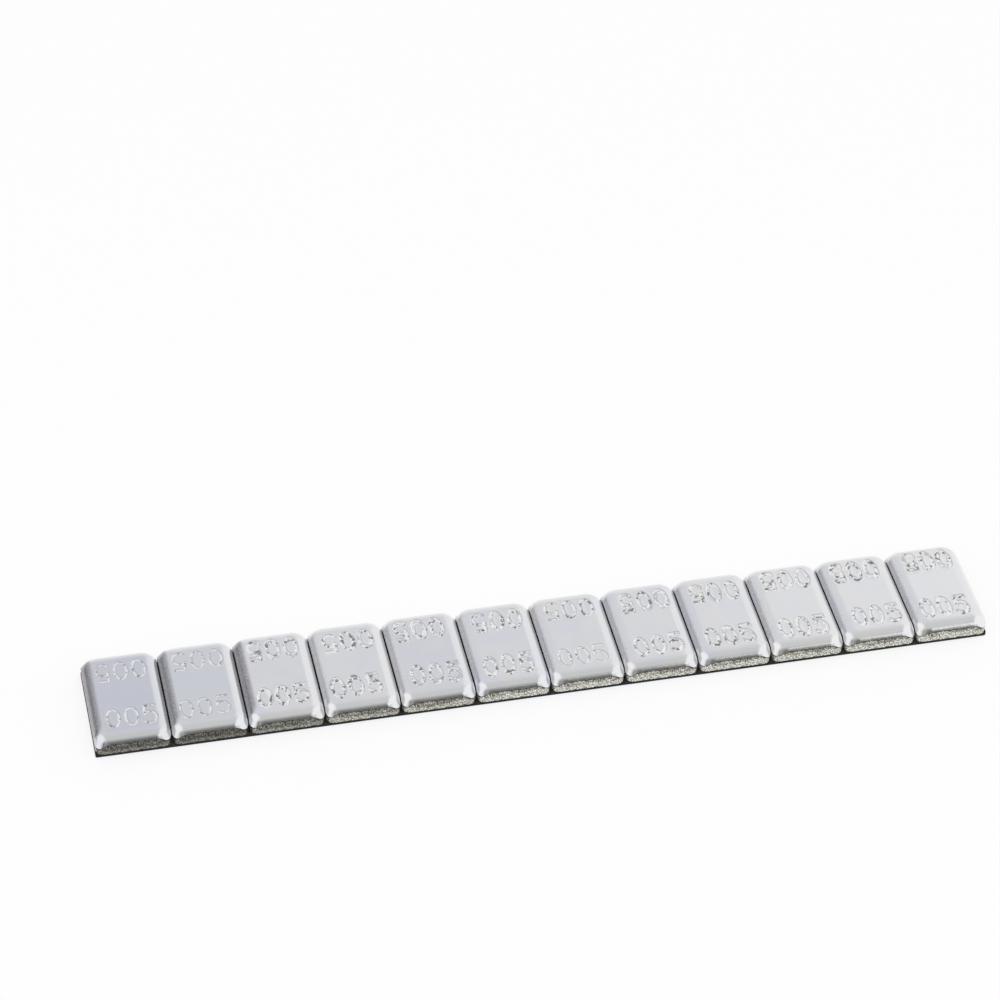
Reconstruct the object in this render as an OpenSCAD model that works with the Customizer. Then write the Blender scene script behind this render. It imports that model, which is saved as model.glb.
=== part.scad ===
// Adhesive wheel balance weight: a strip of steel weights on foam tape, lying on its release liner.
// Units are millimetres. X runs along the strip, Y across it, and Z = 0 is the underside of the liner.
// The origin is at the middle of the strip's underside.

/* [Strip] */
// Number of weights on the tape
weight_count = 12; // [1:1:24]
// Clear gap between two neighbouring weights
weight_gap = 0.15; // [0.1:0.05:2]

/* [Weight] */
// Length of one weight along the strip
weight_length = 11.65; // [8:0.1:25]
// Width of one weight across the strip
weight_width = 18.4; // [12:0.1:30]
// Thickness of the steel
weight_thickness = 3.2; // [2.5:0.05:6]
// Radius of the four corners of the sheared side, seen from above
corner_radius = 1.2; // [0.8:0.1:2]

/* [Sheared edge] */
// How far the rolled-over rim reaches in over the top face
roll_width = 1.9; // [0.8:0.1:2.4]
// How far the rolled-over rim drops down the side
roll_depth = 1.15; // [0.8:0.05:1.3]
// Radius of the rim's own wider corners, seen from above
roll_corner_radius = 2.4; // [2:0.1:3]
// Slope at which the rim runs out over the side and down the corners, fall over run
roll_slope = 1.6; // [1.4:0.05:1.8]
// Height of the rough break-out band at the foot of the side
break_height = 0.8; // [0.3:0.05:1]
// How far the break-out band draws in at the underside
break_taper = 0.08; // [0.02:0.01:0.3]

/* [Tape and liner] */
// Thickness of the foam tape
tape_thickness = 0.8; // [0.4:0.05:2]
// How far the tape's long edges sit back under the weights
tape_setback = 0.35; // [0:0.05:1]
// Thickness of the release liner
liner_thickness = 0.08; // [0.05:0.01:0.3]

/* [Hidden] */
$fn = 96;

steel_colour = [0.78, 0.79, 0.81];
tape_colour = [0.13, 0.12, 0.12];
liner_colour = [0.16, 0.36, 0.55];

weight_pitch = weight_length + weight_gap;
strip_length = weight_count * weight_pitch - weight_gap;
tape_width = weight_width - 2 * tape_setback;
tape_base = liner_thickness;
weight_base = tape_base + tape_thickness;

// The roll leaves the top face tangent as a circular arc and runs out straight at roll_slope.
// It is roll_depth below the top where it meets the side, and never reaches in past the centre of its corners.
roll_reach = min(roll_width, roll_corner_radius);
roll_angle = atan(roll_slope);
roll_radius = (roll_reach * roll_slope - roll_depth) / (sin(roll_angle) * roll_slope + cos(roll_angle) - 1);
run_out_x = roll_reach - roll_radius * sin(roll_angle);
run_out_y = weight_thickness - roll_radius * (1 - cos(roll_angle));
run_out_foot = run_out_x - run_out_y / roll_slope;

// Names run weight_01, weight_02 and so on, from the left end.
function weight_name(i) = str("weight_", i < 10 ? "0" : "", i);

// The sheared side in section: X runs in from the outer face by reach, Y is up.
// It stands taller than the weight, so that only the roll shapes the top.
module side_section(reach) {
    polygon([
        [break_taper, 0],
        [reach, 0],
        [reach, 2 * weight_thickness],
        [0, 2 * weight_thickness],
        [0, break_height]
    ]);
}

// The top face and its roll in the same section, carried on out past the side.
// It reaches below the weight, so that only the side shapes the foot.
module roll_section(reach) {
    difference() {
        polygon([
            [run_out_foot, -weight_thickness],
            [reach, -weight_thickness],
            [reach, weight_thickness],
            [run_out_x, weight_thickness],
            [run_out_x, run_out_y],
            [run_out_foot, 0]
        ]);
        difference() {
            translate([run_out_x - roll_radius, run_out_y])
                square([roll_radius + roll_reach - run_out_x, 2 * roll_radius]);
            translate([roll_reach, weight_thickness - roll_radius])
                circle(r = roll_radius);
        }
    }
}

// Either of the two sections.
module edge_section(rolled, reach) {
    if (rolled) roll_section(reach);
    else side_section(reach);
}

// A bar of the given length centred along X, with a whole section across Y from one edge to the other.
module edge_bar(rolled, length, size) {
    rotate([90, 0, 90])
        translate([0, 0, -length / 2])
            linear_extrude(height = length)
                for (side = [0, 1])
                    mirror([side, 0])
                        translate([-size / 2, 0])
                            edge_section(rolled, size / 2);
}

// One rounded corner: the same edge turned through a quarter about the corner's centre.
module edge_corner(rolled, radius) {
    rotate_extrude(angle = 90)
        mirror([1, 0])
            translate([-radius, 0])
                edge_section(rolled, radius);
}

// A rectangle of the weight's length and width with one kind of edge and corners of one radius.
module edged_plate(rolled, radius) {
    straight_x = weight_length - 2 * radius;
    straight_y = weight_width - 2 * radius;
    edge_bar(rolled, straight_x, weight_width);
    rotate([0, 0, 90])
        edge_bar(rolled, straight_y, weight_length);
    for (mx = [0, 1], my = [0, 1])
        mirror([mx, 0, 0])
            mirror([0, my, 0])
                translate([straight_x / 2, straight_y / 2, 0])
                    edge_corner(rolled, radius);
}

// One blanked steel weight, centred on the origin with its underside at Z = 0.
// The roll has wider corners than the side below it, so it falls further where it crosses them.
module steel_weight() {
    intersection() {
        edged_plate(false, corner_radius);
        edged_plate(true, roll_corner_radius);
    }
}

// The weight with the given number, counted from 1 at the left end of the strip.
module weight(number) {
    color(steel_colour)
        translate([(number - (weight_count + 1) / 2) * weight_pitch, 0, weight_base])
            steel_weight();
}

// A flat strip under the weights, as long as the row of weights and as wide as the tape.
module flat_strip(thickness) {
    translate([-strip_length / 2, -tape_width / 2, 0])
        cube([strip_length, tape_width, thickness]);
}

// Double-sided foam tape that carries every weight.
module foam_tape() {
    color(tape_colour)
        translate([0, 0, tape_base])
            flat_strip(tape_thickness);
}

// Film that covers the tape's lower adhesive face until the strip is used, cut with the tape.
module release_liner() {
    color(liner_colour)
        flat_strip(liner_thickness);
}

for (i = [1 : weight_count])
    weight(i);
foam_tape();
release_liner();
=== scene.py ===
import math

import bpy
import numpy as np
from bpy.props import FloatProperty, FloatVectorProperty, IntProperty, PointerProperty, StringProperty
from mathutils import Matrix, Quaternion, Vector


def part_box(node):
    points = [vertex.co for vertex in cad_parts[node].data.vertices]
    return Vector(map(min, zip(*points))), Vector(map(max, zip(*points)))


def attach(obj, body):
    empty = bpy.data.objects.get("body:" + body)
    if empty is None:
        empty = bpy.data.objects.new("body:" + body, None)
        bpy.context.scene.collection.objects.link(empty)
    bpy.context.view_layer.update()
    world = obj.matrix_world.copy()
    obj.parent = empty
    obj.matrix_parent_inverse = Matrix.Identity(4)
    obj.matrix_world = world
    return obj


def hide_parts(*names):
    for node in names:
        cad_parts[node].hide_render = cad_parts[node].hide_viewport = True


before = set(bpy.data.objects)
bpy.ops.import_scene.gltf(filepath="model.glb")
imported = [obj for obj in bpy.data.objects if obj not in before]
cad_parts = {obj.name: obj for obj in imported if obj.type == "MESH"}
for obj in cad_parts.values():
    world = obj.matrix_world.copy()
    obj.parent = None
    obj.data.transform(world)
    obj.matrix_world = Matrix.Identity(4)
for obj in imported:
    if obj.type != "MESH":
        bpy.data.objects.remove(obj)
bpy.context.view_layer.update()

bl_info = {
    "name": "Adhesive wheel balance weight",
    "version": (1, 0, 0),
    "blender": (4, 5, 0),
    "location": "3D View > Sidebar > Balance weight",
    "description": "Stamped steel weights on foam tape with a release liner, and their studio",
    "category": "Object",
}

WEIGHTS = sorted(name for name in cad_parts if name.startswith("weight_"))
CLEAN_STRIKES = (1, 2, 7)      # numbers of the weights whose stamp did not bounce
SHADED_LEFT_RIMS = (1, 2, 3)             # numbers of the weights whose left rim gets a stronger painted shade
PAINTED_GREY_TOPS = {1: 0.9, 2: 0.55, 5: 0.3}  # numbers of the weights whose top gets a painted greyer, bluer shade, and how much
MM = 0.001

# Sizes of the random unevenness, across its blobs.
DEEP_STRIKE = 0.9 * MM         # places where the whole stamp was struck deeper
SPARKLE = 0.5 * MM             # grains within a stroke
STROKE_WANDER = 0.4 * MM       # the stroke's edge
PLATE_WAVES = (3.2 * MM, 1.3 * MM)
PEEL_CELLS = (0.34 * MM, 0.8 * MM)
SHEAR_STREAK = 0.22 * MM
BREAK_LINE_WAVES = (1.6 * MM, 0.5 * MM)
BREAK_GRIT = 0.17 * MM

# Relief of the sheared side and of the tape's cut edge.
STREAK_RELIEF = 0.010 * MM
GRIT_RELIEF = 0.03 * MM
RIM_TO_BREAK = 0.2 * MM        # least height of the burnished band
BREAK_BLEND = 0.12 * MM        # height over which one band's finish gives way to the other's
TAPE_SWAY = 9 * MM
TAPE_NICK = 0.45 * MM
NICK_RELIEF = 0.012 * MM
HAZE_RELIEF = 0.004 * MM

LAMP_PLACE = (180.0, 78.0)     # azimuth and elevation in degrees
LAMP_HEIGHT = 1.4
FLOOR_CLEARANCE = 0.02 * MM    # the floor lies this far below the liner


# Small helpers for meshes

def make_piece(name, points, faces, materials):
    """A smooth-shaded mesh object at the origin, with its materials in order."""
    mesh = bpy.data.meshes.new(name)
    mesh.from_pydata(points, [], faces)
    mesh.polygons.foreach_set("use_smooth", [True] * len(mesh.polygons))
    for material in materials:
        mesh.materials.append(material)
    piece = bpy.data.objects.new(name, mesh)
    bpy.context.scene.collection.objects.link(piece)
    return piece


def set_point_values(mesh, name, values):
    """Stores one number per vertex for a material to read."""
    layer = mesh.attributes.new(name, "FLOAT", "POINT")
    layer.data.foreach_set("value", np.asarray(values, dtype=np.float32))


def mark_sharp(mesh, loops):
    """Makes every edge that runs along one of the closed vertex loops a sharp one."""
    ends = np.empty(len(mesh.edges) * 2, dtype=np.int64)
    mesh.edges.foreach_get("vertices", ends)
    ends = ends.reshape(-1, 2)
    sharp = np.zeros(len(mesh.edges), dtype=bool)
    for loop in loops:
        rank = np.full(len(mesh.vertices), -1, dtype=np.int64)
        rank[loop] = np.arange(len(loop))
        first, second = rank[ends[:, 0]], rank[ends[:, 1]]
        step = np.abs(first - second)
        sharp |= (first >= 0) & (second >= 0) & ((step == 1) | (step == len(loop) - 1))
    layer = mesh.attributes.new("sharp_edge", "BOOLEAN", "EDGE")
    layer.data.foreach_set("value", sharp)


def smooth_noise(rng, x, y, cell):
    """A smooth random field from -1 to 1 whose blobs are about one cell across."""
    column = (x - x.min()) / cell
    row = (y - y.min()) / cell
    i, j = np.floor(column).astype(int), np.floor(row).astype(int)
    table = rng.uniform(-1.0, 1.0, (i.max() + 2, j.max() + 2))
    s, t = column - i, row - j
    s, t = s * s * (3 - 2 * s), t * t * (3 - 2 * t)
    low = table[i, j] * (1 - s) + table[i + 1, j] * s
    high = table[i, j + 1] * (1 - s) + table[i + 1, j + 1] * s
    return low * (1 - t) + high * t


# Small helpers for node materials

class Nodes:
    """Builds a node tree with short calls, so that each material reads as a recipe."""

    def __init__(self, tree):
        self.tree = tree
        tree.nodes.clear()

    def add(self, kind, **settings):
        node = self.tree.nodes.new(kind)
        for key, value in settings.items():
            setattr(node, key, value)
        return node

    def put(self, socket, value):
        """Links a socket into an input, or sets the input's own number or colour."""
        if isinstance(value, bpy.types.NodeSocket):
            self.tree.links.new(value, socket)
        else:
            socket.default_value = value

    def math(self, operation, first, second=0.0, clamp=False):
        node = self.add("ShaderNodeMath", operation=operation, use_clamp=clamp)
        self.put(node.inputs[0], first)
        self.put(node.inputs[1], second)
        return node.outputs[0]

    def blend(self, amount, first, second, mode="MIX"):
        node = self.add("ShaderNodeMix", data_type="RGBA", blend_type=mode, clamp_factor=True)
        self.put(node.inputs["Factor"], amount)
        for label, value in (("A", first), ("B", second)):
            socket = [s for s in node.inputs if s.name == label and s.type == "RGBA"][0]
            self.put(socket, value)
        return [s for s in node.outputs if s.type == "RGBA"][0]

    def ramp(self, value, low, high, to_low=0.0, to_high=1.0, smooth=True):
        node = self.add("ShaderNodeMapRange", clamp=True)
        node.interpolation_type = "SMOOTHSTEP" if smooth else "LINEAR"
        for label, number in (("From Min", low), ("From Max", high), ("To Min", to_low), ("To Max", to_high)):
            self.put(node.inputs[label], number)
        self.put(node.inputs["Value"], value)
        return node.outputs["Result"]

    def noise(self, vector, scale, detail=3.0, roughness=0.55, distortion=0.0):
        node = self.add("ShaderNodeTexNoise")
        self.put(node.inputs["Vector"], vector)
        self.put(node.inputs["Scale"], scale)
        self.put(node.inputs["Detail"], detail)
        self.put(node.inputs["Roughness"], roughness)
        self.put(node.inputs["Distortion"], distortion)
        return node.outputs["Fac"]

    def cells(self, vector, scale, randomness=1.0):
        node = self.add("ShaderNodeTexVoronoi", feature="F1")
        self.put(node.inputs["Vector"], vector)
        self.put(node.inputs["Scale"], scale)
        self.put(node.inputs["Randomness"], randomness)
        return node.outputs["Distance"]

    def stretch(self, vector, factors):
        node = self.add("ShaderNodeVectorMath", operation="MULTIPLY")
        self.put(node.inputs[0], vector)
        self.put(node.inputs[1], factors)
        return node.outputs["Vector"]

    def scale(self, vector, factor):
        node = self.add("ShaderNodeVectorMath", operation="SCALE")
        self.put(node.inputs[0], vector)
        self.put(node.inputs["Scale"], factor)
        return node.outputs["Vector"]

    def join(self, x, y, z=0.0):
        node = self.add("ShaderNodeCombineXYZ")
        for socket, value in zip(node.inputs, (x, y, z)):
            self.put(socket, value)
        return node.outputs["Vector"]

    def read(self, name):
        return self.add("ShaderNodeAttribute", attribute_name=name).outputs["Fac"]

    def place(self):
        return self.add("ShaderNodeTexCoord").outputs["Object"]

    def bump(self, height, distance, strength=1.0, normal=None):
        node = self.add("ShaderNodeBump")
        self.put(node.inputs["Height"], height)
        self.put(node.inputs["Distance"], distance)
        self.put(node.inputs["Strength"], strength)
        if normal is not None:
            self.put(node.inputs["Normal"], normal)
        return node.outputs["Normal"]

    def surface(self, **inputs):
        """The principled shader, with the named inputs linked or set, joined to the output."""
        shader = self.add("ShaderNodeBsdfPrincipled")
        for name, value in inputs.items():
            self.put(shader.inputs[NAMES[name]], value)
        output = self.add("ShaderNodeOutputMaterial")
        self.tree.links.new(shader.outputs["BSDF"], output.inputs["Surface"])
        return shader


NAMES = {
    "colour": "Base Color",
    "metallic": "Metallic",
    "roughness": "Roughness",
    "normal": "Normal",
    "gloss": "Specular IOR Level",
    "coat": "Coat Weight",
    "coat_roughness": "Coat Roughness",
}


def new_material(name):
    material = bpy.data.materials.new(name)
    material.use_nodes = True
    return material, Nodes(material.node_tree)


# The steel weights

def colour(values):
    """A colour property as the four numbers that a node takes."""
    return (*values, 1.0)


def plate_material(steel):
    """Bright zinc plate: cloudy satin top, left rim with speckled painted shade, sparkling stamping with a
    painted shadow line and dark spots. Some tops get painted light or painted shade in their colour.
    """
    material, n = new_material("zinc_plate")
    place = n.place()
    rim, left, stamp, tone_and_painted_light, painted_left_shade = (n.read(name) for name in ("rim", "left", "stamp", "tone_and_painted_light", "painted_left_shade"))
    cloud = n.noise(place, 230.0, detail=4.0, roughness=0.5)
    mottle = n.noise(place, 2300.0, detail=4.0, roughness=0.6)
    speck = n.noise(place, 4300.0, detail=2.0, roughness=0.6)
    grain = n.noise(place, 9000.0, detail=4.0, roughness=0.6)
    base = n.blend(n.ramp(cloud, 0.38, 0.62), colour(steel.colour_cool), colour(steel.colour_warm))
    # Paler tops: random tone, and painted light that makes the last three weights paler.
    base = n.blend(n.ramp(tone_and_painted_light, -1.0, 1.0, 0.0, 0.4), base, colour(steel.colour_pale))
    # Painted shade: the tops of a few weights are turned greyer and bluer, less on the rim.
    painted_grey = n.math("MULTIPLY", n.read("painted_grey"), n.ramp(rim, 0.0, 0.6, 1.0, 0.2))
    base = n.blend(painted_grey, base, colour(steel.colour_painted_grey))
    # Painted shade: the left rim is darkened at its foot and in specks, and more on a few weights.
    painted_foot_shade = n.math("MULTIPLY", n.ramp(left, 0.72, 0.96, 0.0, 0.5), n.ramp(mottle, 0.30, 0.55, 0.6, 1.0))
    base = n.blend(painted_foot_shade, base, colour(steel.colour_painted_shade))
    painted_speck_shade = n.math("MULTIPLY", n.ramp(left, 0.15, 0.7), n.ramp(speck, 0.50, 0.66))
    base = n.blend(n.math("MULTIPLY", painted_speck_shade, 0.35), base, colour(steel.colour_painted_shade))
    painted_speck_shade = n.math("MULTIPLY", n.ramp(left, 0.08, 0.45), n.ramp(speck, 0.30, 0.60, 0.5, 0.9))
    base = n.blend(n.math("MULTIPLY", painted_speck_shade, painted_left_shade), base, colour(steel.colour_painted_shade))
    # Painted shadow: a thin darker line along the edges of each stamped stroke.
    outline = n.math("SUBTRACT", n.ramp(stamp, 0.01, 0.12), n.ramp(stamp, 0.18, 0.45))
    base = n.blend(n.math("MULTIPLY", outline, 0.45), base, colour(steel.colour_painted_shade))
    base = n.blend(n.ramp(stamp, 0.18, 0.5, 0.0, 0.8), base, colour(steel.colour_struck))
    # Darker spots in the deeper part of the stamped strokes.
    spots = n.ramp(n.noise(place, 1700.0, detail=1.0), 0.54, 0.60)
    stamp_dark_spots = n.math("MULTIPLY", n.ramp(stamp, 0.25, 0.6), spots)
    base = n.blend(n.math("MULTIPLY", stamp_dark_spots, 0.85), base, colour(steel.colour_stamp_spots))
    roughness = n.math("ADD", n.ramp(cloud, 0.3, 0.7, steel.roughness - 0.03, steel.roughness + 0.04),
                       n.math("MULTIPLY", n.ramp(left, 0.2, 0.9), 0.10))
    pits = n.ramp(n.cells(place, 1500.0), 0.0, 0.16, 1.0, 0.0)
    rare = n.ramp(n.noise(place, 520.0, detail=1.0), 0.56, 0.64)
    pits = n.math("MULTIPLY", pits, rare)
    scratch = n.noise(n.stretch(place, (420.0, 5200.0, 420.0)), 1.0, detail=2.0, distortion=0.6)
    scratch = n.ramp(scratch, 0.66, 0.72)
    height = n.math("SUBTRACT", n.math("MULTIPLY", grain, 0.5), pits)
    height = n.math("SUBTRACT", height, n.math("MULTIPLY", scratch, 0.6))
    height = n.math("ADD", height, n.math("MULTIPLY", n.math("MULTIPLY", mottle, n.ramp(rim, 0.1, 0.8)), 1.6))
    height = n.math("ADD", height, n.math("MULTIPLY", n.math("MULTIPLY", speck, n.ramp(left, 0.1, 0.6)), 3.0))
    normal = n.bump(height, steel.grain_depth)
    normal = n.bump(cloud, steel.ripple_depth, normal=normal)
    n.surface(colour=base, metallic=1.0, roughness=roughness, normal=normal)
    return material


def sheared_material(steel):
    """The sheared side: dark burnished band with upright streaks over a rough, paler break-out band, both
    lightened by a painted sheen that grows with the weight's number and is strongest on the walls facing the
    gaps.
    """
    material, n = new_material("sheared_steel")
    around, rise, rough = n.read("around"), n.read("rise"), n.read("break_out")
    painted_sheen, fall = n.read("painted_sheen"), n.read("fall")
    streak_place = n.join(n.math("MULTIPLY", around, 3000.0), n.math("MULTIPLY", rise, 900.0))
    fine_place = n.join(n.math("MULTIPLY", around, 4600.0), n.math("MULTIPLY", rise, 2200.0))
    patch_place = n.join(n.math("MULTIPLY", around, 520.0), n.math("MULTIPLY", rise, 900.0))
    grit_place = n.join(n.math("MULTIPLY", around, 4200.0), n.math("MULTIPLY", rise, 4200.0))
    streak = n.noise(streak_place, 1.0, detail=3.0, roughness=0.6)
    fine = n.noise(fine_place, 1.0, detail=4.0, roughness=0.65)
    patch = n.noise(patch_place, 1.0, detail=2.0)
    grit = n.noise(grit_place, 1.0, detail=5.0, roughness=0.7)
    dark = n.blend(n.ramp(streak, 0.44, 0.60), colour(steel.burnish_dark), colour(steel.burnish_pale))
    dark = n.blend(n.math("MULTIPLY", n.ramp(fine, 0.53, 0.61), 0.85), dark, colour(steel.burnish_glint))
    # Painted sheen: both bands are lightened with the weight's painted sheen, the burnished band less near the
    # rim.
    painted_sheen_gain = n.math("MULTIPLY", n.math("MULTIPLY", painted_sheen, 5.0), n.ramp(patch, 0.3, 0.7, 0.35, 1.0))
    dark = n.scale(dark, n.math("ADD", n.math("MULTIPLY", painted_sheen_gain, n.ramp(fall, 0.0, 0.30)), 1.0))
    pale = n.blend(n.ramp(grit, 0.44, 0.57), colour(steel.break_dark), colour(steel.break_pale))
    pale = n.scale(pale, n.math("ADD", n.math("MULTIPLY", painted_sheen, 2.2), 0.75))
    base = n.blend(rough, dark, pale)
    roughness = n.math("ADD", n.ramp(fine, 0.35, 0.65, 0.34, 0.46), n.math("MULTIPLY", rough, 0.12))
    height = n.math("ADD", n.math("MULTIPLY", streak, n.ramp(rough, 0.0, 1.0, 1.0, 0.2)),
                    n.math("MULTIPLY", grit, n.ramp(rough, 0.0, 1.0, 0.25, 1.6)))
    normal = n.bump(height, steel.streak_depth)
    n.surface(colour=base, metallic=1.0, roughness=roughness, normal=normal)
    return material


def arc(centre, radii, start, end, count):
    """Points along an elliptical arc, with its angles in degrees."""
    turns = np.radians(np.linspace(start, end, count))
    return [(centre[0] + radii[0] * math.cos(t), centre[1] + radii[1] * math.sin(t)) for t in turns]


def digit_strokes(digit, width, height):
    """Centre lines of one stamped digit, about its own middle."""
    half_w, half_h = width / 2, height / 2
    if digit == "0":
        return [arc((0, 0), (half_w, half_h), 0, 360, 33)]
    if digit == "5":
        bowl_w, bowl_h = 0.56 * width, 0.33 * height
        bowl = arc((-0.06 * width, -half_h + bowl_h), (bowl_w, bowl_h), 128, -138, 25)
        flag = [(0.86 * half_w, half_h), (-0.76 * half_w, half_h), (-0.86 * half_w, 0.02 * height), bowl[0]]
        return [flag, bowl]
    raise ValueError(f"no stamp is drawn for {digit}")


def mark_segments(steel, middle, turn):
    """The stamped number as short line segments, placed at middle and turned by turn."""
    strokes = []
    text = steel.stamp_text
    for index, digit in enumerate(text):
        shift = (index - (len(text) - 1) / 2) * steel.digit_spacing
        for line in digit_strokes(digit, steel.digit_width, steel.digit_height):
            strokes.append([(x + shift, y) for x, y in line])
    cos, sin = math.cos(turn), math.sin(turn)
    segments = []
    for line in strokes:
        placed = [(middle[0] + x * cos - y * sin, middle[1] + x * sin + y * cos) for x, y in line]
        segments += list(zip(placed[:-1], placed[1:]))
    return np.array(segments)


def distance_to(segments, x, y):
    """Distance from each point to the nearest of the segments."""
    best = np.full(x.shape, 1.0)
    for (ax, ay), (bx, by) in segments:
        along_x, along_y = bx - ax, by - ay
        length = max(along_x * along_x + along_y * along_y, 1e-12)
        t = np.clip(((x - ax) * along_x + (y - ay) * along_y) / length, 0.0, 1.0)
        best = np.minimum(best, np.hypot(x - ax - t * along_x, y - ay - t * along_y))
    return best


def plan_lines(half, roll, bands, fine, coarse, rim_steps=14):
    """Grid lines across a plate: even turns of the rolled rim, then fine steps in the stamped bands."""
    rim = [roll.reach - roll.radius * math.sin(roll.angle * (1 - k / rim_steps)) for k in range(rim_steps)]
    rim = [0.0] + rim
    inner = []
    position = -half + roll.reach
    while position < half - roll.reach - fine / 2:
        inner.append(position)
        position += fine if any(low <= position <= high for low, high in bands) else coarse
    far_rim = [half - u for u in reversed(rim)]
    return np.array([-half + u for u in rim] + inner + [half - roll.reach] + far_rim)


class Roll:
    """The rolled rim: an arc that leaves the top face tangent and runs out straight past the side."""

    def __init__(self, steel):
        self.reach, self.slope, self.corner = steel.roll_width, steel.roll_slope, steel.roll_corner_radius
        self.angle = math.atan(self.slope)
        turn = math.sin(self.angle) * self.slope + math.cos(self.angle) - 1
        self.radius = (self.reach * self.slope - steel.roll_depth) / turn
        self.run_out = self.reach - self.radius * math.sin(self.angle)

    def inward(self, inward_x, inward_y):
        """Distance in from the rim's own outline, which has wider corners than the side."""
        past_x = np.maximum(self.corner - inward_x, 0.0)
        past_y = np.maximum(self.corner - inward_y, 0.0)
        both = (past_x > 0) & (past_y > 0)
        straight = self.corner - np.minimum(inward_x, inward_y)
        return self.corner - np.where(both, np.hypot(past_x, past_y), straight)

    def drop(self, inward):
        """How far the top has dropped at a distance in from the rim's outline."""
        left = np.clip(self.reach - inward, 0.0, self.reach - self.run_out)
        curve = self.radius - np.sqrt(self.radius ** 2 - left ** 2)
        return curve + np.maximum(self.run_out - inward, 0) * self.slope


def weight_mesh(steel, name, number, materials):
    """One stamped weight as a closed mesh that fills the CAD node's own outline."""
    rng = np.random.default_rng(500 + number)
    low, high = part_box(name)
    middle = ((low[0] + high[0]) / 2, (low[1] + high[1]) / 2)
    half = ((high[0] - low[0]) / 2, (high[1] - low[1]) / 2)
    top, foot = high[2] - steel.lip_height, low[2]
    corner = steel.corner_radius
    roll = Roll(steel)

    # Two stamped marks face each other, one along the front edge and one along the back.
    marks = []
    for side, turn in ((-1, 0.0), (1, math.pi)):
        slide = rng.uniform(-0.45, 0.35) * MM * -side
        inset = steel.mark_inset + steel.digit_height / 2 + rng.uniform(-0.15, 0.2) * MM
        tilt = turn + rng.uniform(-0.03, 0.03)
        marks.append((slide, side * (half[1] - inset), tilt))
    reach_y = steel.digit_height / 2 + 3 * steel.stroke_width
    bands = [(y - reach_y, y + reach_y) for _, y, _ in marks]
    fine = steel.grid_step
    lines_x = plan_lines(half[0], roll, [(-half[0], half[0])], fine, fine)
    lines_y = plan_lines(half[1], roll, bands, fine, 2.6 * fine)
    flat_x, flat_y = np.meshgrid(lines_x, lines_y, indexing="ij")

    # A square corner of the grid is bent onto the round corner of the plate.
    inward_x, inward_y = half[0] - np.abs(flat_x), half[1] - np.abs(flat_y)
    past_x, past_y = np.maximum(corner - inward_x, 0.0), np.maximum(corner - inward_y, 0.0)
    reach = np.hypot(past_x, past_y)
    in_corner = (past_x > 0) & (past_y > 0)
    bend = np.where(in_corner, np.maximum(past_x, past_y) / np.maximum(reach, 1e-9), 1.0)
    x = np.sign(flat_x) * (np.minimum(np.abs(flat_x), half[0] - corner) + past_x * bend)
    y = np.sign(flat_y) * (np.minimum(np.abs(flat_y), half[1] - corner) + past_y * bend)
    inward = roll.inward(half[0] - np.abs(x), half[1] - np.abs(y))

    # The stamp is a rounded groove with a low raised lip, struck deeper in some places. Most strikes bounced
    # and left a second, shifted groove.
    groove = np.zeros(x.shape)
    lip = np.zeros(x.shape)
    twice = number not in CLEAN_STRIKES
    uneven = 0.80 + 0.25 * smooth_noise(rng, x, y, DEEP_STRIKE)
    uneven += (0.55 if twice else 0.2) * smooth_noise(rng, x, y, SPARKLE)
    for mark_x, mark_y, tilt in marks:
        segments = mark_segments(steel, (mark_x, mark_y), tilt)
        near = np.abs(y - mark_y) < reach_y
        away = distance_to(segments, x[near], y[near])
        half_stroke = steel.stroke_width / 2 * (1 + 0.12 * smooth_noise(rng, x, y, STROKE_WANDER)[near])
        strength = rng.uniform(0.8, 1.1) if twice else rng.uniform(0.5, 0.8)
        cut = strength * uneven[near] * np.clip(1 - (away / half_stroke) ** 2, 0.0, 1.0)
        ghost_shift = (rng.uniform(-0.25, 0.25) * MM, rng.choice((-1, 1)) * rng.uniform(0.3, 0.6) * MM)
        ghost = distance_to(segments, x[near] + ghost_shift[0], y[near] + ghost_shift[1])
        again = rng.uniform(0.7, 1.0) if twice else 0.0
        cut_again = again * uneven[near] * np.clip(1 - (ghost / half_stroke) ** 2, 0.0, 1.0)
        groove[near] = np.maximum(groove[near], np.maximum(cut, cut_again))
        raised = np.exp(-((away - 1.25 * half_stroke) / (0.28 * steel.stroke_width)) ** 2)
        lip[near] = np.maximum(lip[near], raised)
    slow_wave, quick_wave = (smooth_noise(rng, x, y, cell) for cell in PLATE_WAVES)
    wave = slow_wave * 0.5 + quick_wave * 0.18
    level = np.clip(inward / roll.reach, 0.0, 1.0)
    z = top - roll.drop(inward) - steel.stamp_depth * groove
    z += steel.lip_height * (0.9 * lip * (groove < 0.02) - 0.5 * np.clip(0.5 - wave, 0.0, 1.0) * level)
    small_peel, large_peel = (smooth_noise(rng, x, y, cell) for cell in PEEL_CELLS)
    peel = small_peel + 0.6 * large_peel
    z -= steel.peel_depth * (1 + peel) * np.clip((roll.reach - inward) / (0.5 * roll.reach), 0.0, 1.0)

    columns, rows = x.shape
    index = np.arange(columns * rows).reshape(columns, rows)
    rim = np.concatenate([index[:, 0], index[-1, 1:], index[-2::-1, -1], index[0, -2:0:-1]])
    rim = np.roll(rim, -(columns + rows + columns // 2))
    points = np.stack([x + middle[0], y + middle[1], z], axis=-1).reshape(-1, 3)
    quads = np.stack([index[:-1, :-1], index[1:, :-1], index[1:, 1:], index[:-1, 1:]], axis=-1).reshape(-1, 4)

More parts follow.
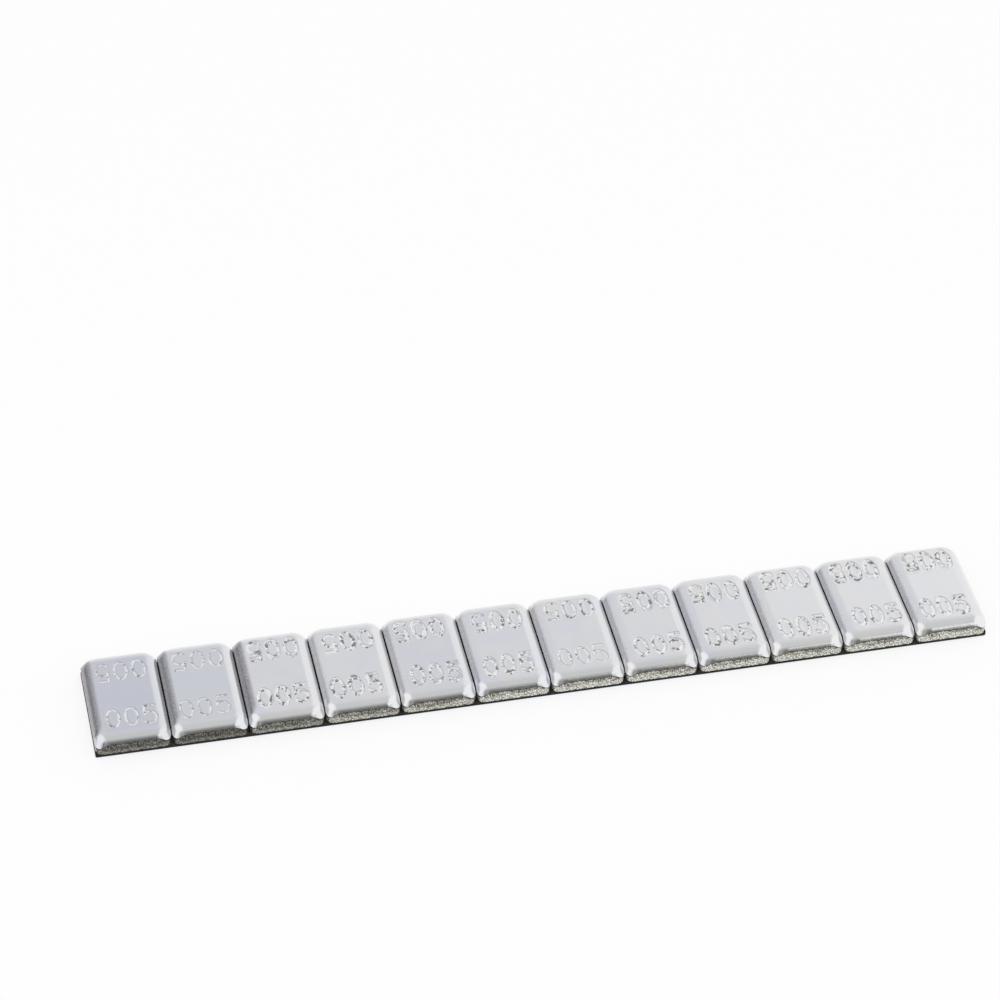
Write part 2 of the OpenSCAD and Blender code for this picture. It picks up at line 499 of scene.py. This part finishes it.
    # The sides run down from the rim in rings: a burnished band, then a rougher break-out band.
    out = np.stack([np.sign(flat_x) * past_x, np.sign(flat_y) * past_y], axis=-1).reshape(-1, 2)[rim]
    out /= np.maximum(np.linalg.norm(out, axis=1, keepdims=True), 1e-9)
    edge = points[rim]
    steps = np.linalg.norm(np.diff(edge[:, :2], axis=0), axis=1)
    around = np.concatenate([[0.0], np.cumsum(steps)])
    zero = np.zeros(len(rim))
    streak = smooth_noise(rng, around, zero, SHEAR_STREAK)
    slow, quick = (smooth_noise(rng, around, zero, cell) for cell in BREAK_LINE_WAVES)
    rim_height = edge[:, 2]
    # Painted sheen for the sheared side, growing with the weight's number; the break-out band is made taller
    # with it.
    painted_sheen = np.clip((number - 2) / 4, 0.0, 1.0) * 0.85 + rng.uniform(0.0, 0.15)
    break_height = steel.break_height * (0.8 + 0.6 * painted_sheen)
    band_top = foot + break_height * (1 + 0.28 * slow + 0.16 * quick)
    band_top = np.minimum(band_top, rim_height - RIM_TO_BREAK)
    rings = []
    side_levels = np.linspace(0.0, 1.0, steel.side_rings + 1)[1:]
    for share in side_levels:
        height = rim_height + (foot - rim_height) * share
        below = np.clip((band_top - height) / break_height, 0.0, 1.0)
        grit = smooth_noise(rng, around, np.full(len(rim), share), BREAK_GRIT)
        inset = STREAK_RELIEF * (1 + streak) * min(share * 4, 1.0)
        inset = inset + below * steel.break_taper + (below > 0) * GRIT_RELIEF * (1 + grit) * (share < 1.0)
        ring = np.column_stack([edge[:, :2] - out * inset[:, None], height])
        rings.append(ring)
    count = len(rim)
    all_points = np.concatenate([points] + rings)
    loops = [rim] + [len(points) + k * count + np.arange(count) for k in range(len(rings))]
    side = []
    for upper, lower in zip(loops[:-1], loops[1:]):
        side.append(np.stack([upper, lower, np.roll(lower, -1), np.roll(upper, -1)], axis=-1))
    side = np.concatenate(side)
    faces = quads.tolist() + side.tolist() + [loops[-1][::-1].tolist()]

    piece = make_piece("stamped_" + name, all_points.tolist(), faces, materials)
    mesh = piece.data
    kinds = np.zeros(len(faces), dtype=np.int32)
    kinds[len(quads):] = 1
    mesh.polygons.foreach_set("material_index", kinds)
    mark_sharp(mesh, [loops[0], loops[-1]])
    rest = len(rings) * count
    tilt_share = np.clip((roll.reach - inward) / roll.reach, 0.0, 1.0).reshape(-1)
    band = np.concatenate([np.clip((band_top - ring[:, 2]) / BREAK_BLEND, 0.0, 1.0) for ring in rings])
    set_point_values(mesh, "rim", np.concatenate([tilt_share, np.zeros(rest)]))
    left_share = np.clip((roll.reach - x - half[0]) / roll.reach, 0.0, 1.0)
    left_share = (left_share * np.clip((half[1] + y) / roll.corner - 0.35, 0.0, 1.0)).reshape(-1)
    set_point_values(mesh, "left", np.concatenate([left_share, np.zeros(rest)]))
    set_point_values(mesh, "stamp", np.concatenate([groove.reshape(-1), np.zeros(rest)]))
    edge_around = np.zeros(len(points))
    edge_around[rim] = around
    set_point_values(mesh, "around", np.concatenate([edge_around] + [around] * len(rings)))
    set_point_values(mesh, "rise", all_points[:, 2] - foot)
    falls = np.repeat(side_levels, count)
    set_point_values(mesh, "fall", np.concatenate([np.zeros(len(points)), falls]))
    set_point_values(mesh, "break_out", np.concatenate([np.zeros(len(points)), band]))
    # Random tone, plus painted light on the last three weights.
    tone_and_painted_light = rng.uniform(-1, 1) + (1.2 if number > len(WEIGHTS) - 3 else 0.0)
    set_point_values(mesh, "tone_and_painted_light", np.full(len(all_points), tone_and_painted_light))
    # Painted shade on the left rim of a few weights.
    set_point_values(mesh, "painted_left_shade", np.full(len(all_points), float(number in SHADED_LEFT_RIMS)))
    # Painted shade: greyer, bluer tops on a few weights.
    set_point_values(mesh, "painted_grey", np.full(len(all_points), PAINTED_GREY_TOPS.get(number, 0.0)))
    # Painted light on the side walls that face the gaps between weights.
    gap_wall_painted_light = 1.6 * np.tile(np.abs(out[:, 0]) > 0.9, len(rings))
    painted_sheens = np.maximum(painted_sheen, np.concatenate([np.zeros(len(points)), gap_wall_painted_light]))
    set_point_values(mesh, "painted_sheen", painted_sheens)
    return piece


# The tape and its liner

def foam_material(tape):
    """Cut edge of dark closed-cell foam: matt, finely pitted with painted shade in the pits, a little dusty."""
    material, n = new_material("dark_foam")
    place = n.place()
    pores = n.cells(place, 5200.0)
    dust = n.noise(place, 1800.0, detail=4.0, roughness=0.6)
    base = n.blend(n.ramp(dust, 0.42, 0.66), colour(tape.colour_dark), colour(tape.colour_pale))
    # Painted shade in the open cells.
    base = n.blend(n.ramp(pores, 0.0, 0.30, 0.7, 0.0), base, colour(tape.colour_pore_shade))
    height = n.math("ADD", n.ramp(pores, 0.0, 0.45), n.math("MULTIPLY", dust, 0.5))
    roughness = n.ramp(dust, 0.3, 0.7, 0.78, 0.95)
    n.surface(colour=base, roughness=roughness, gloss=0.25, normal=n.bump(height, tape.pore_depth))
    return material


def tape_mesh(tape, material):
    """The foam strip, with knife-cut sides that waver a little and belly slightly under load."""
    rng = np.random.default_rng(77)
    low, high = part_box("foam_tape")
    length = high[0] - low[0]
    along = np.linspace(low[0], high[0], int(length / tape.grid_step) + 1)
    share = np.linspace(0.0, 1.0, tape.side_rows + 1)
    belly = np.sin(share * math.pi)
    columns = []
    for side, edge in ((-1, low[1]), (1, high[1])):
        sway = smooth_noise(rng, along, np.zeros(len(along)), TAPE_SWAY)
        nick = smooth_noise(rng, *np.meshgrid(along, share * 0.8 * MM, indexing="ij"), TAPE_NICK)
        inset = tape.cut_waver * (1.0 + sway)[:, None] + tape.belly * (1.0 - belly)[None, :]
        inset = inset + NICK_RELIEF * (1.0 + nick)
        columns.append(edge - side * inset)
    heights = low[2] + (high[2] - low[2]) * share
    front = np.stack(np.broadcast_arrays(along[:, None], columns[0], heights[None, :]), axis=-1)
    back = np.stack(np.broadcast_arrays(along[:, None], columns[1], heights[None, :]), axis=-1)
    ring = np.concatenate([front, back[:, ::-1]], axis=1)
    stations, per_ring = ring.shape[:2]
    index = np.arange(stations * per_ring).reshape(stations, per_ring)
    turned = np.roll(index, -1, axis=1)
    quads = np.stack([index[:-1], index[1:], turned[1:], turned[:-1]], axis=-1).reshape(-1, 4)
    faces = quads.tolist() + [index[0].tolist(), index[-1][::-1].tolist()]
    piece = make_piece("cut_foam_tape", ring.reshape(-1, 3).tolist(), faces, [material])
    corners = [tape.side_rows, tape.side_rows + 1, 0, per_ring - 1]
    mark_sharp(piece.data, [index[:, k] for k in corners] + [index[0], index[-1]])
    return piece


def liner_material(liner):
    """Thin blue film: smooth and glossy, faintly rippled where it was laid on."""
    material, n = new_material("blue_film")
    place = n.place()
    ripple = n.noise(n.stretch(place, (90.0, 420.0, 90.0)), 1.0, detail=3.0, distortion=0.8)
    haze = n.noise(place, 700.0, detail=4.0)
    base = n.blend(n.ramp(haze, 0.38, 0.64), colour(liner.colour_deep), colour(liner.colour_light))
    roughness = n.ramp(haze, 0.3, 0.7, 0.22, 0.36)
    normal = n.bump(haze, HAZE_RELIEF, normal=n.bump(ripple, liner.ripple_depth))
    n.surface(colour=base, roughness=roughness, normal=normal, coat=0.3, coat_roughness=0.15)
    return material


def liner_mesh(liner, material):
    """The film, with the small cut radius at its corners."""
    low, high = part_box("release_liner")
    low, high = low + Vector((0, liner.inset, 0)), high - Vector((0, liner.inset, 0))
    radius = liner.corner_radius
    outline = []
    corners = ((180, low[0], low[1]), (270, high[0], low[1]), (0, high[0], high[1]), (90, low[0], high[1]))
    for turn, x, y in corners:
        centre = (x + (radius if x < 0 else -radius), y + (radius if y < 0 else -radius))
        outline += arc(centre, (radius, radius), turn, turn + 90, 7)
    count = len(outline)
    points = [(x, y, low[2]) for x, y in outline] + [(x, y, high[2]) for x, y in outline]
    faces = [tuple(reversed(range(count))), tuple(range(count, 2 * count))]
    faces += [(k, (k + 1) % count, count + (k + 1) % count, count + k) for k in range(count)]
    piece = make_piece("blue_release_liner", points, faces, [material])
    mark_sharp(piece.data, [np.arange(count), np.arange(count, 2 * count)])
    return piece


# The studio

def floor_material(stage):
    """Pale floor that takes the shadow and stays near white to the eye and in reflections."""
    material, n = new_material("pale_floor")
    rays = n.add("ShaderNodeLightPath").outputs
    seen = n.math("MAXIMUM", rays["Is Camera Ray"], rays["Is Glossy Ray"])
    seen = n.math("MAXIMUM", seen, rays["Is Transmission Ray"])
    paper = n.add("ShaderNodeBsdfDiffuse")
    n.put(paper.inputs["Color"], colour(stage.floor_colour))
    glow = n.add("ShaderNodeEmission")
    n.put(glow.inputs["Color"], (1.0, 1.0, 1.0, 1.0))
    mix = n.add("ShaderNodeMixShader")
    n.put(mix.inputs[0], n.math("MULTIPLY", seen, stage.floor_glow))
    n.tree.links.new(paper.outputs[0], mix.inputs[1])
    n.tree.links.new(glow.outputs[0], mix.inputs[2])
    output = n.add("ShaderNodeOutputMaterial")
    n.tree.links.new(mix.outputs[0], output.inputs["Surface"])
    return material


def compass(azimuth, elevation):
    """A direction from the strip: azimuth 0 is the back, +Y, and 90 the right, +X; degrees."""
    a, e = math.radians(azimuth), math.radians(elevation)
    return Vector((math.sin(a) * math.cos(e), math.cos(a) * math.cos(e), math.sin(e)))


# Soft patches of the walls: name, azimuth, elevation, half size and softness in degrees, amount, colour.
WALL_PATCHES = (
    ("dark low front", 176, -14, 37, 58, 1.0, (0.06, 0.058, 0.05)),
    ("bright right", 58, 26, 34, 14, 1.0, (0.92, 0.92, 0.915)),
    ("bright low back", 14, 6, 28, 14, 1.0, (0.88, 0.88, 0.875)),
    ("dim left", -62, 0, 30, 24, 1.0, (0.40, 0.39, 0.42)),
    ("dark low left", -112, 6, 31, 14, 0.95, (0.08, 0.078, 0.07)),
    ("left soft box", -103, 30, 29, 14, 1.0, (1.0, 1.0, 1.0)),
    ("window frame", 147, 28, 17, 4, 1.0, (0.25, 0.25, 0.255)),
    ("window", 147, 28, 14.5, 4, 1.0, (1.0, 1.0, 0.985)),
    ("right soft box", 110, 27, 31, 15, 1.0, (1.0, 1.0, 1.0)),
)


def build_walls(stage):
    """The world: a plain pale room, with the soft patches that give the steel its tones."""
    world = bpy.data.worlds.new("studio_walls")
    bpy.context.scene.world = world
    world.use_nodes = True
    n = Nodes(world.node_tree)
    direction = n.add("ShaderNodeTexCoord").outputs["Generated"]
    split = n.add("ShaderNodeSeparateXYZ")
    n.put(split.inputs[0], direction)
    depth = n.ramp(split.outputs["Y"], -0.35, 0.35)
    sky = n.blend(depth, colour(stage.front_colour), colour(stage.back_colour))
    for _, azimuth, elevation, size, softness, amount, shade in WALL_PATCHES:
        towards = compass(azimuth, elevation)
        dot = n.add("ShaderNodeVectorMath", operation="DOT_PRODUCT")
        n.put(dot.inputs[0], direction)
        n.put(dot.inputs[1], towards)
        low, high = (math.cos(math.radians(size + part * softness / 2)) for part in (1, -1))
        sky = n.blend(n.ramp(dot.outputs["Value"], low, high, 0.0, amount), sky, (*shade, 1.0))
    sky = n.blend(n.ramp(split.outputs["Z"], 0.02, 0.06), (1.0, 1.0, 1.0, 1.0), sky)
    background = n.add("ShaderNodeBackground")
    n.put(background.inputs["Color"], sky)
    n.put(background.inputs["Strength"], stage.wall_level)
    output = n.add("ShaderNodeOutputWorld")
    n.tree.links.new(background.outputs[0], output.inputs["Surface"])


def add_key_light(stage):
    """A large lamp overhead, which gives the floor its soft shadow; the steel mirrors the walls alone."""
    lamp = bpy.data.lights.new("overhead_lamp", "AREA")
    lamp.shape = "DISK"
    lamp.size, lamp.energy = stage.lamp_size, stage.lamp_power
    holder = bpy.data.objects.new("overhead_lamp", lamp)
    holder.visible_glossy = False
    bpy.context.scene.collection.objects.link(holder)
    towards = compass(*LAMP_PLACE)
    holder.location = towards * LAMP_HEIGHT
    holder.rotation_mode = "QUATERNION"
    holder.rotation_quaternion = towards.to_track_quat("Z", "Y")


def add_camera(stage):
    """The camera looks down from the front left, at the photograph's angle."""
    camera = bpy.data.cameras.new("camera")
    camera.sensor_width = 36.0
    camera.lens = stage.lens
    camera.clip_start, camera.clip_end = 0.01, 20.0
    holder = bpy.data.objects.new("camera", camera)
    bpy.context.scene.collection.objects.link(holder)
    azimuth, elevation = math.degrees(stage.camera_azimuth), math.degrees(stage.camera_elevation)
    back = compass(azimuth + 180.0, elevation)
    holder.location = Vector(stage.aim_point) + back * stage.camera_distance
    holder.rotation_mode = "QUATERNION"
    level = back.to_track_quat("Z", "Y")
    holder.rotation_quaternion = level @ Quaternion((0.0, 0.0, 1.0), stage.camera_roll)
    bpy.context.scene.camera = holder


# Settings that a user would change

def length_property(name, about, default):
    return FloatProperty(name=name, description=about, default=default, min=0.0, precision=6, unit="LENGTH",
                         subtype="DISTANCE")


def colour_property(name, about, default):
    return FloatVectorProperty(name=name, description=about, default=default, min=0.0, max=1.0,
                               subtype="COLOR")


class SteelSettings(bpy.types.PropertyGroup):
    """Form, stamp and finish of the steel weights."""

    corner_radius: length_property("Corner radius", "Radius of the side's corners, from above", 1.2 * MM)
    roll_corner_radius: length_property("Roll corner radius", "Radius of the rim's own wider corners", 2.4 * MM)
    roll_width: length_property("Roll width", "How far the rolled rim reaches in over the top", 1.9 * MM)
    roll_depth: length_property("Roll depth", "How far the rolled rim drops down the side", 1.15 * MM)
    roll_slope: FloatProperty(name="Roll slope", description="Steepest slope of the rim, fall over run",
                              default=1.6, min=0.5)
    break_height: length_property("Break-out height", "Height of the rough band at the foot", 0.8 * MM)
    break_taper: length_property("Break-out taper", "How far the rough band draws in at the foot", 0.08 * MM)
    stamp_text: StringProperty(name="Stamp", description="Plain digits stamped twice on each weight",
                               default="005")
    digit_width: length_property("Digit width", "Width of a digit between stroke centres", 1.85 * MM)
    digit_height: length_property("Digit height", "Height of a digit between stroke centres", 3.6 * MM)
    digit_spacing: length_property("Digit spacing", "Distance from one digit to the next", 2.8 * MM)
    mark_inset: length_property("Mark inset", "From the outer face to the foot of the digits", 2.35 * MM)
    stroke_width: length_property("Stroke width", "Width of the stamped groove", 0.54 * MM)
    stamp_depth: length_property("Stamp depth", "Depth of the stamped groove", 0.15 * MM)
    peel_depth: length_property("Peel depth", "Height of the uneven skin on the rolled rim", 0.002 * MM)
    lip_height: length_property("Lip height", "Metal raised beside the stamped groove", 0.02 * MM)
    grid_step: length_property("Grid step", "Mesh spacing where the steel is stamped", 0.078 * MM)
    side_rings: IntProperty(name="Side rings", description="Rows of faces down the sheared side",
                            default=9, min=3)
    roughness: FloatProperty(name="Roughness", description="Roughness of the zinc plate", default=0.17,
                             min=0.0, max=1.0, subtype="FACTOR")
    grain_depth: length_property("Grain depth", "Height of the plate's fine grain", 0.004 * MM)
    ripple_depth: length_property("Ripple depth", "Height of the slow ripples in the plate", 0.03 * MM)
    streak_depth: length_property("Streak depth", "Height of the sheared side's streaks", 0.03 * MM)
    colour_cool: colour_property("Cool zinc", "Bluish areas of the plate", (0.80, 0.815, 0.86))
    colour_warm: colour_property("Warm zinc", "Greyer areas of the plate", (0.83, 0.83, 0.835))
    # Paler tops, at random and as painted light on the last weights.
    colour_pale: colour_property("Pale zinc", "Paler weights in the strip", (0.90, 0.90, 0.90))
    # Painted shade: greyer, bluer tops on a few weights.
    colour_painted_grey: colour_property("Grey zinc", "Greyer weights in the strip", (0.69, 0.71, 0.775))
    # Painted shade, on the left rim and along the stamped strokes.
    colour_painted_shade: colour_property("Shaded zinc", "Dull specks on the left rim", (0.33, 0.325, 0.335))
    colour_struck: colour_property("Struck zinc", "Bright metal laid bare in the stamp", (0.97, 0.97, 0.97))
    # Darker spots in the stamped strokes.
    colour_stamp_spots: colour_property("Stamp spots", "Dark spots in the stamp", (0.16, 0.155, 0.15))
    burnish_dark: colour_property("Burnish, dark", "Darkest streaks of the sheared side", (0.038, 0.036, 0.031))
    burnish_pale: colour_property("Burnish, pale", "Paler streaks of the sheared side", (0.095, 0.093, 0.081))
    burnish_glint: colour_property("Burnish, glint", "Brightest streaks of the side", (0.29, 0.287, 0.257))
    break_dark: colour_property("Break-out, dark", "Hollows of the rough band", (0.045, 0.043, 0.037))
    break_pale: colour_property("Break-out, pale", "High spots of the rough band", (0.44, 0.435, 0.39))


class TapeSettings(bpy.types.PropertyGroup):
    """Cut and finish of the foam tape."""

    grid_step: length_property("Grid step", "Mesh spacing along the cut edge", 0.2 * MM)
    side_rows: IntProperty(name="Side rows", description="Rows of faces up the cut edge", default=6, min=2)
    cut_waver: length_property("Cut waver", "How far the knife cut wanders", 0.03 * MM)
    belly: length_property("Belly", "How far the foam's middle stands out past its faces", 0.05 * MM)
    pore_depth: length_property("Pore depth", "Depth of the open cells on the cut", 0.03 * MM)
    colour_dark: colour_property("Foam, dark", "Main colour of the foam", (0.020, 0.016, 0.015))
    colour_pale: colour_property("Foam, dusty", "Dusty areas of the foam", (0.050, 0.042, 0.038))
    # Painted shade inside the open cells.
    colour_pore_shade: colour_property("Foam, pores", "Colour inside the cells", (0.008, 0.007, 0.007))


class LinerSettings(bpy.types.PropertyGroup):
    """Cut and finish of the release liner."""

    corner_radius: length_property("Corner radius", "Radius of the film's cut corners", 0.3 * MM)
    inset: length_property("Inset", "How far the film's long edges sit back under the tape", 0.1 * MM)
    ripple_depth: length_property("Ripple depth", "Height of the ripples in the film", 0.05 * MM)
    colour_deep: colour_property("Film, deep", "Deeper areas of the blue film", (0.020, 0.105, 0.245))
    colour_light: colour_property("Film, light", "Lighter areas of the blue film", (0.035, 0.150, 0.320))


class StageSettings(bpy.types.PropertyGroup):
    """Floor, walls and camera."""

    floor_size: length_property("Floor size", "Side of the floor", 8.0)
    floor_colour: colour_property("Floor colour", "Colour of the floor", (0.94, 0.94, 0.94))
    floor_glow: FloatProperty(name="Floor white", description="Share of plain white in the floor, as seen",
                              default=0.80, min=0.0, max=1.0, subtype="FACTOR")
    front_colour: colour_property("Room, front", "Colour of the room behind the camera", (0.66, 0.66, 0.645))
    back_colour: colour_property("Room, back", "Colour of the room beyond the strip", (0.75, 0.755, 0.78))
    lamp_size: length_property("Lamp size", "Diameter of the lamp overhead", 0.9)
    lamp_power: FloatProperty(name="Lamp power", description="Power of the lamp overhead, in watts",
                              default=5.0, min=0.0)
    wall_level: FloatProperty(name="Room light", description="Brightness of the room", default=1.0, min=0.0)
    camera_azimuth: FloatProperty(name="Camera azimuth", description="Direction in which the camera looks",
                                  default=math.radians(14.23), subtype="ANGLE")
    camera_elevation: FloatProperty(name="Camera elevation", description="Height of the camera, as an angle",
                                    default=math.radians(42.54), subtype="ANGLE")
    camera_roll: FloatProperty(name="Camera roll", description="Turn of the camera about its line of sight",
                               default=math.radians(2.5), subtype="ANGLE")
    camera_distance: length_property("Camera distance", "Distance from the camera to what it aims at", 0.5579)
    aim_point: FloatVectorProperty(name="Aim", description="Point on the floor at the middle of the picture",
                                   default=(0.0019, 0.0363, 0.0), subtype="XYZ", unit="LENGTH")
    lens: FloatProperty(name="Lens", description="Focal length in millimetres", default=122.15, min=1.0)


class BalanceWeightSettings(bpy.types.PropertyGroup):
    """All settings of the strip and its studio."""

    steel: PointerProperty(type=SteelSettings)
    tape: PointerProperty(type=TapeSettings)
    liner: PointerProperty(type=LinerSettings)
    stage: PointerProperty(type=StageSettings)


class BALANCE_OT_stamp_weights(bpy.types.Operator):
    """Model the stamped steel weights over their CAD solids"""

    bl_idname = "balance.stamp_weights"
    bl_label = "Stamped weights"

    def execute(self, context):
        steel = context.scene.balance_weight.steel
        materials = [plate_material(steel), sheared_material(steel)]
        for number, name in enumerate(WEIGHTS, start=1):
            piece = weight_mesh(steel, name, number, materials)
            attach(piece, "root")
            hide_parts(name)
        return {"FINISHED"}


class BALANCE_OT_lay_tape(bpy.types.Operator):
    """Model the cut foam tape under the weights"""

    bl_idname = "balance.lay_tape"
    bl_label = "Foam tape"

    def execute(self, context):
        tape = context.scene.balance_weight.tape
        piece = tape_mesh(tape, foam_material(tape))
        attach(piece, "root")
        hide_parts("foam_tape")
        return {"FINISHED"}


class BALANCE_OT_lay_liner(bpy.types.Operator):
    """Model the film that covers the tape's adhesive"""

    bl_idname = "balance.lay_liner"
    bl_label = "Release liner"

    def execute(self, context):
        liner = context.scene.balance_weight.liner
        piece = liner_mesh(liner, liner_material(liner))
        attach(piece, "root")
        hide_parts("release_liner")
        return {"FINISHED"}


class BALANCE_OT_set_stage(bpy.types.Operator):
    """Set up the floor, the room's light and the camera"""

    bl_idname = "balance.set_stage"
    bl_label = "Studio"

    def execute(self, context):
        stage = context.scene.balance_weight.stage
        context.scene.view_settings.view_transform = "Standard"
        side = stage.floor_size / 2
        corners = [(-side, -side, 0.0), (side, -side, 0.0), (side, side, 0.0), (-side, side, 0.0)]
        floor = make_piece("floor", corners, [(0, 1, 2, 3)], [floor_material(stage)])
        floor.location.z = -FLOOR_CLEARANCE
        build_walls(stage)
        add_key_light(stage)
        add_camera(stage)
        return {"FINISHED"}


class BALANCE_PT_panel(bpy.types.Panel):
    """Lists the steps that build the strip and its studio"""

    bl_idname = "BALANCE_PT_panel"
    bl_label = "Balance weight"
    bl_space_type = "VIEW_3D"
    bl_region_type = "UI"
    bl_category = "Balance weight"

    def draw(self, context):
        for operator in OPERATORS:
            self.layout.operator(operator.bl_idname)
        settings = context.scene.balance_weight
        for group in (settings.steel, settings.tape, settings.liner, settings.stage):
            box = self.layout.box()
            for key in group.__annotations__:
                box.prop(group, key)


OPERATORS = (BALANCE_OT_set_stage, BALANCE_OT_stamp_weights, BALANCE_OT_lay_tape, BALANCE_OT_lay_liner)
CLASSES = (SteelSettings, TapeSettings, LinerSettings, StageSettings, BalanceWeightSettings, *OPERATORS,
           BALANCE_PT_panel)


def register():
    for cls in CLASSES:
        bpy.utils.register_class(cls)
    bpy.types.Scene.balance_weight = PointerProperty(type=BalanceWeightSettings)


def unregister():
    del bpy.types.Scene.balance_weight
    for cls in reversed(CLASSES):
        bpy.utils.unregister_class(cls)


def main():
    """Builds everything in order."""
    register()
    bpy.ops.balance.set_stage()
    bpy.ops.balance.stamp_weights()
    bpy.ops.balance.lay_tape()
    bpy.ops.balance.lay_liner()


if __name__ == "__main__":
    main()
